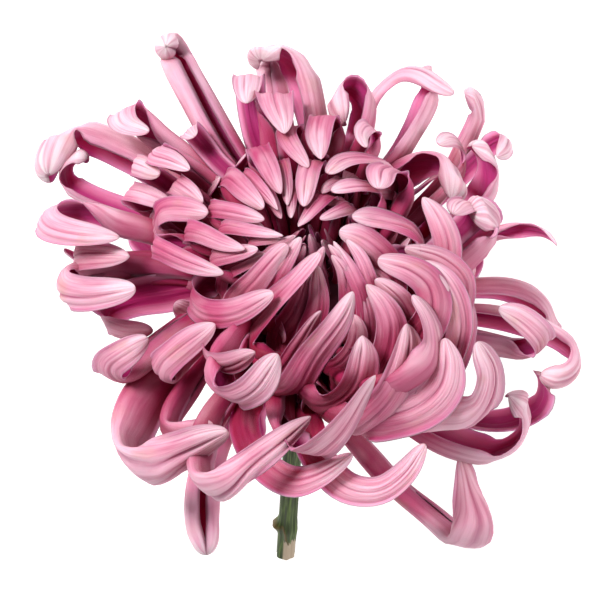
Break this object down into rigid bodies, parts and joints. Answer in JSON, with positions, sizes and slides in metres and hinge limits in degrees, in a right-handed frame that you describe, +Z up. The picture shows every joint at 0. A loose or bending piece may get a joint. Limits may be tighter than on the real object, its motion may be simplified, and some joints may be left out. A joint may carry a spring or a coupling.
{
  "type": "cut chrysanthemum flower",
  "caption": "Large double chrysanthemum bloom with hooked, rolled petals in layers, a green bract cup behind it and a short cut stem, lying on its lower petals.",
  "frame": {"origin": "middle of the flower's outline seen from above, on the surface that it lies on", "axes": "+Z up, the stem's cut end towards -Y, the face of the bloom up and towards +Y, +X to the right of the bloom"},
  "size_m": [0.1332, 0.1308, 0.1067],
  "materials": {
    "petal": "satin, pale pink outside and deep magenta inside, finely ribbed lengthwise",
    "bract": "matt grey-green with thin papery margins",
    "stem": "satin olive green, ribbed, with a brown scar and a pale cut end"
  },
  "bodies": {
    "root": {"bloom": "petal", "calyx": "bract", "stem": "stem"}
  },
  "joints": []
}
